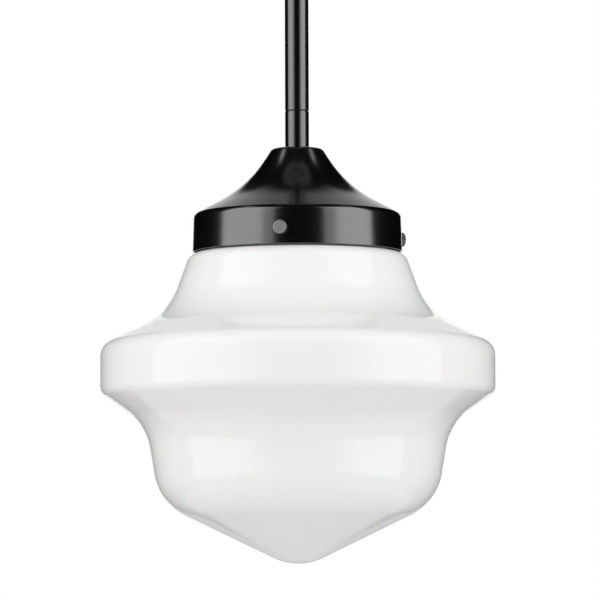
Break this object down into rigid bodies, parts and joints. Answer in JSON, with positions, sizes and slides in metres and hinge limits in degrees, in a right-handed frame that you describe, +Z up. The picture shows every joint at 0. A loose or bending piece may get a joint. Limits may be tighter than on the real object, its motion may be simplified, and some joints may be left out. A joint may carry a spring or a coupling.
{
  "type": "mini pendant light",
  "caption": "Black stem pendant light with a flared metal shade holder, thumb screws and a pointed opal glass shade, on a swivel in a round ceiling canopy.",
  "frame": {"origin": "midpoint between the two box screw holes, in the ceiling plane, at the crossbar's top face and the canopy's rim", "axes": "+Z up out of the ceiling face, so the light hangs towards -Z; +X along the crossbar; -Y towards the front, where the first thumb screw shows"},
  "size_m": [0.21, 0.21, 0.4244],
  "materials": {
    "black_metal": "smooth satin black paint",
    "zinc_steel": "zinc plated",
    "green_screw": "green dyed plating",
    "orange_plastic": "moulded",
    "black_insulation": "extruded insulation",
    "white_insulation": "extruded insulation",
    "green_insulation": "extruded insulation",
    "nylon": "moulded",
    "brass": "plain",
    "porcelain": "glazed white",
    "opal_glass": "glossy opal white",
    "grey_nickel": "dull grey nickel",
    "bulb_diffuser": "frosted",
    "bulb_plastic": "moulded white",
    "bulb_metal": "nickel plated",
    "black_glass": "glossy black",
    "board": "white solder mask"
  },
  "bodies": {
    "ceiling_mount": {"canopy": "black_metal", "crossbar": "zinc_steel", "canopy_studs": "zinc_steel", "stud_nuts": "zinc_steel", "canopy_knobs": "black_metal", "bar_ground_screw": "green_screw", "wire_nuts": "orange_plastic", "live_tail": "black_insulation", "neutral_tail": "white_insulation", "ground_tail": "green_insulation"},
    "swivel": {"swivel_seat": "nylon"},
    "pendant": {"swivel_ball": "black_metal", "swivel_nipple": "brass", "stem_rod": "black_metal", "coupling_nipple": "brass", "stem_neck": "black_metal", "holder_nipple": "brass", "shade_holder": "black_metal", "socket_bracket": "zinc_steel", "lock_washer": "zinc_steel", "holder_nut": "brass", "socket_body": "porcelain", "socket_shell": "brass", "socket_contact": "brass", "bracket_screws": "zinc_steel", "terminal_screws": "brass", "leg_ground_screw": "green_screw", "screw_bushings": "zinc_steel", "glass_shade": "opal_glass", "live_lead": "black_insulation", "neutral_lead": "white_insulation", "ground_lead": "green_insulation"},
    "front_screw": {"thumb_screw_1": "grey_nickel"},
    "right_screw": {"thumb_screw_2": "grey_nickel"},
    "rear_screw": {"thumb_screw_3": "grey_nickel"},
    "bulb": {"bulb_globe": "bulb_diffuser", "bulb_housing": "bulb_plastic", "bulb_base": "bulb_metal", "bulb_insulator": "black_glass", "bulb_contact": "brass", "led_board": "board"}
  },
  "joints": [
    {"name": "swivel_pan", "type": "hinge", "parent": "ceiling_mount", "child": "swivel", "pos_m": [0, 0, -0.02016], "axis": [0, 0, 1], "range_deg": [-175, 175]},
    {"name": "swivel_lean", "type": "hinge", "parent": "swivel", "child": "pendant", "pos_m": [0, 0, -0.02016], "axis": [1, 0, 0], "range_deg": [-20, 20]},
    {"name": "front_screw_travel", "type": "slide", "parent": "pendant", "child": "front_screw", "axis": [-0.1513, -0.9885, 0], "range_m": [0, 0.005]},
    {"name": "right_screw_travel", "type": "slide", "parent": "pendant", "child": "right_screw", "axis": [0.9317, 0.3633, 0], "range_m": [0, 0.005]},
    {"name": "rear_screw_travel", "type": "slide", "parent": "pendant", "child": "rear_screw", "axis": [-0.7804, 0.6252, 0], "range_m": [0, 0.005]},
    {"name": "bulb_travel", "type": "slide", "parent": "pendant", "child": "bulb", "axis": [0, 0, -1], "range_m": [0, 0.022]}
  ]
}
